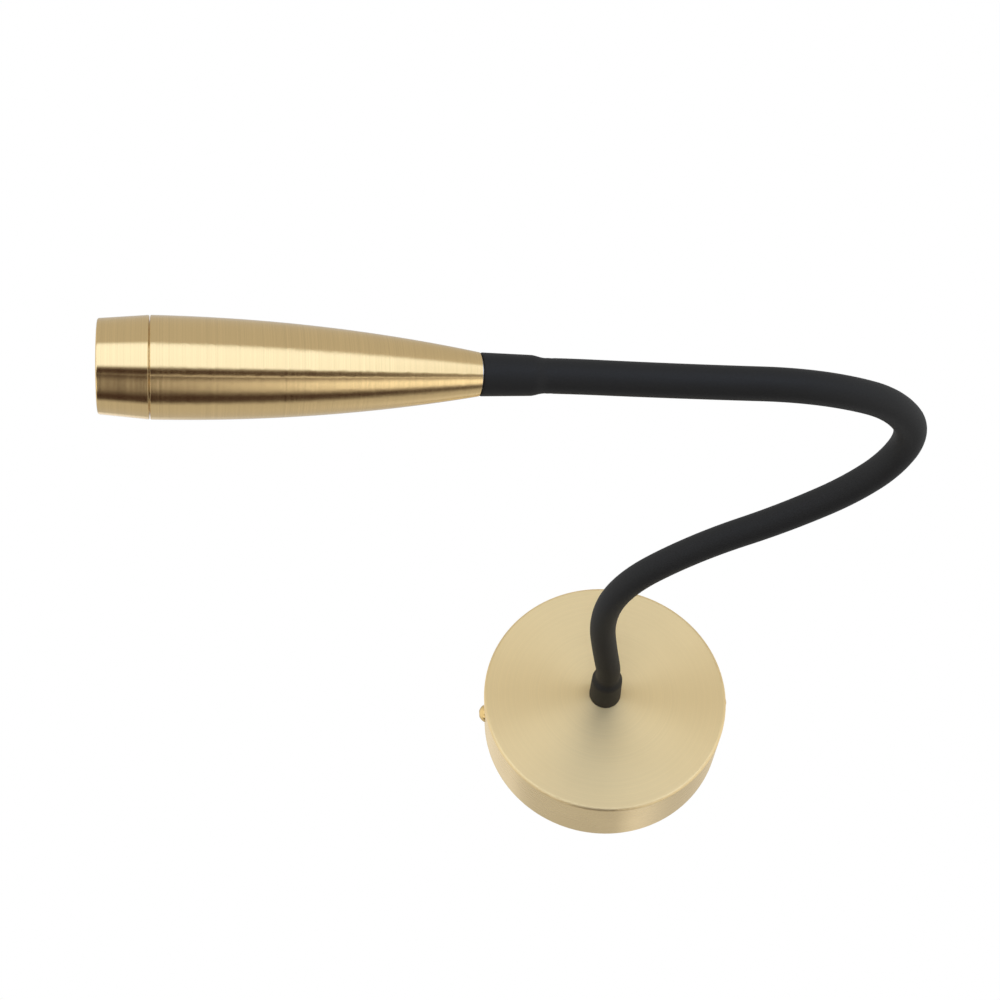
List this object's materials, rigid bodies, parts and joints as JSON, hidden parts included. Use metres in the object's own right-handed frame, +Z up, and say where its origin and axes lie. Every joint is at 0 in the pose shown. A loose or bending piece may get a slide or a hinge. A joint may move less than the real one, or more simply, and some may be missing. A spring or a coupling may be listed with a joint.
{
  "type": "wall reading lamp",
  "caption": "Bedside wall reading lamp: round brass canopy, black-sleeved gooseneck arm and slim tapered brass head with a focusing front ring.",
  "frame": {"origin": "middle of the canopy's back, on the wall", "axes": "+Y into the wall, so the lamp reaches out along -Y; +X to the right seen from the room; +Z up"},
  "size_m": [0.2349, 0.2869, 0.1],
  "materials": {
    "brushed_brass": "satin brushed, lacquered",
    "polished_brass": "polished",
    "zinc_steel": "zinc plated",
    "wound_steel": "plain wound strip",
    "black_sleeve": "matte silicone",
    "seal_rubber": "matte",
    "white_plastic": "moulded",
    "board_white": "solder mask",
    "sink_aluminium": "machined",
    "black_aluminium": "black anodised",
    "clear_lens": "clear moulded",
    "led_silicone": "phosphor under a clear dome",
    "wire_insulation": "insulated stranded wire"
  },
  "bodies": {
    "wall_base": {"canopy": "brushed_brass", "mounting_bracket": "zinc_steel", "bracket_ears": "zinc_steel", "side_screws": "polished_brass", "base_ferrule": "zinc_steel", "toothed_washer": "zinc_steel", "lock_nut": "zinc_steel", "led_driver": "white_plastic", "driver_screws": "zinc_steel", "terminal_block": "white_plastic", "terminal_screws": "zinc_steel", "earth_terminal": "zinc_steel", "mains_leads": "wire_insulation", "output_leads": "wire_insulation", "hose_sleeve_00": "black_sleeve", "flex_tube_00": "wound_steel", "hose_wires_00": "wire_insulation"},
    "hose_link_01": {"hose_sleeve_01": "black_sleeve", "flex_tube_01": "wound_steel", "hose_wires_01": "wire_insulation"},
    "hose_link_02": {"hose_sleeve_02": "black_sleeve", "flex_tube_02": "wound_steel", "hose_wires_02": "wire_insulation"},
    "hose_link_03": {"hose_sleeve_03": "black_sleeve", "flex_tube_03": "wound_steel", "hose_wires_03": "wire_insulation"},
    "hose_link_04": {"hose_sleeve_04": "black_sleeve", "flex_tube_04": "wound_steel", "hose_wires_04": "wire_insulation"},
    "hose_link_05": {"hose_sleeve_05": "black_sleeve", "flex_tube_05": "wound_steel", "hose_wires_05": "wire_insulation"},
    "hose_link_06": {"hose_sleeve_06": "black_sleeve", "flex_tube_06": "wound_steel", "hose_wires_06": "wire_insulation"},
    "hose_link_07": {"hose_sleeve_07": "black_sleeve", "flex_tube_07": "wound_steel", "hose_wires_07": "wire_insulation"},
    "hose_link_08": {"hose_sleeve_08": "black_sleeve", "flex_tube_08": "wound_steel", "hose_wires_08": "wire_insulation"},
    "hose_link_09": {"hose_sleeve_09": "black_sleeve", "flex_tube_09": "wound_steel", "hose_wires_09": "wire_insulation"},
    "head": {"hose_sleeve_10": "black_sleeve", "flex_tube_10": "wound_steel", "hose_wires_10": "wire_insulation", "head_ferrule": "zinc_steel", "head_shell": "brushed_brass", "tail_nut": "zinc_steel", "heat_sink": "sink_aluminium", "led_board": "board_white", "board_screws": "zinc_steel", "led_emitter": "led_silicone", "head_leads": "wire_insulation", "seal_ring": "seal_rubber"},
    "lens_carriage": {"lens_holder": "black_aluminium", "lens": "clear_lens"},
    "focusing_ring": {"focus_ring": "brushed_brass", "retaining_ring": "zinc_steel"}
  },
  "joints": [
    {"name": "bend_01", "type": "hinge", "parent": "wall_base", "child": "hose_link_01", "pos_m": [-0.00169, -0.06118, 0.00038], "axis": [0.0051, 0.0345, 0.9994], "range_deg": [-30, 30]},
    {"name": "bend_02", "type": "hinge", "parent": "hose_link_01", "child": "hose_link_02", "pos_m": [-0.00428, -0.09388, 0.00115], "axis": [-0.9975, -0.0705, 0], "range_deg": [-30, 30]},
    {"name": "bend_03", "type": "hinge", "parent": "hose_link_02", "child": "hose_link_03", "pos_m": [0.00606, -0.12461, 0.00075], "axis": [0.0111, -0.0152, -0.9998], "range_deg": [-30, 30]},
    {"name": "bend_04", "type": "hinge", "parent": "hose_link_03", "child": "hose_link_04", "pos_m": [0.0297, -0.14735, 0.00153], "axis": [0.6207, 0.784, 0], "range_deg": [-30, 30]},
    {"name": "bend_05", "type": "hinge", "parent": "hose_link_04", "child": "hose_link_05", "pos_m": [0.05573, -0.16742, 0.00159], "axis": [0, 0, -1], "range_deg": [-30, 30]},
    {"name": "bend_06", "type": "hinge", "parent": "hose_link_05", "child": "hose_link_06", "pos_m": [0.077, -0.19226, 0.00188], "axis": [0.8901, 0.4557, 0], "range_deg": [-30, 30]},
    {"name": "bend_07", "type": "hinge", "parent": "hose_link_06", "child": "hose_link_07", "pos_m": [0.07457, -0.22267, 0.00118], "axis": [-0.077, -0.093, 0.9927], "range_deg": [-20, 30]},
    {"name": "bend_08", "type": "hinge", "parent": "hose_link_07", "child": "hose_link_08", "pos_m": [0.04733, -0.23977, -0.00312], "axis": [0.3047, -0.9524, 0], "range_deg": [-30, 30]},
    {"name": "bend_09", "type": "hinge", "parent": "hose_link_08", "child": "hose_link_09", "pos_m": [0.0149, -0.24449, -0.00455], "axis": [-0.0453, -0.0052, 0.999], "range_deg": [-30, 30]},
    {"name": "bend_10", "type": "hinge", "parent": "hose_link_09", "child": "head", "pos_m": [-0.01744, -0.24982, -0.00705], "axis": [0.2068, -0.9784, 0], "range_deg": [-30, 30]},
    {"name": "lens_slide", "type": "slide", "parent": "head", "child": "lens_carriage", "axis": [-0.9743, -0.1894, -0.1219], "range_m": [0, 0.003]},
    {"name": "focus_turn", "type": "hinge", "parent": "lens_carriage", "child": "focusing_ring", "pos_m": [-0.13371, -0.27255, -0.02148], "axis": [-0.9743, -0.1894, -0.1219], "range_deg": [0, 180]}
  ],
  "couplings": [
    {"joint": "focus_turn", "follows": "lens_slide", "rad_per_m": 1047.2}
  ]
}
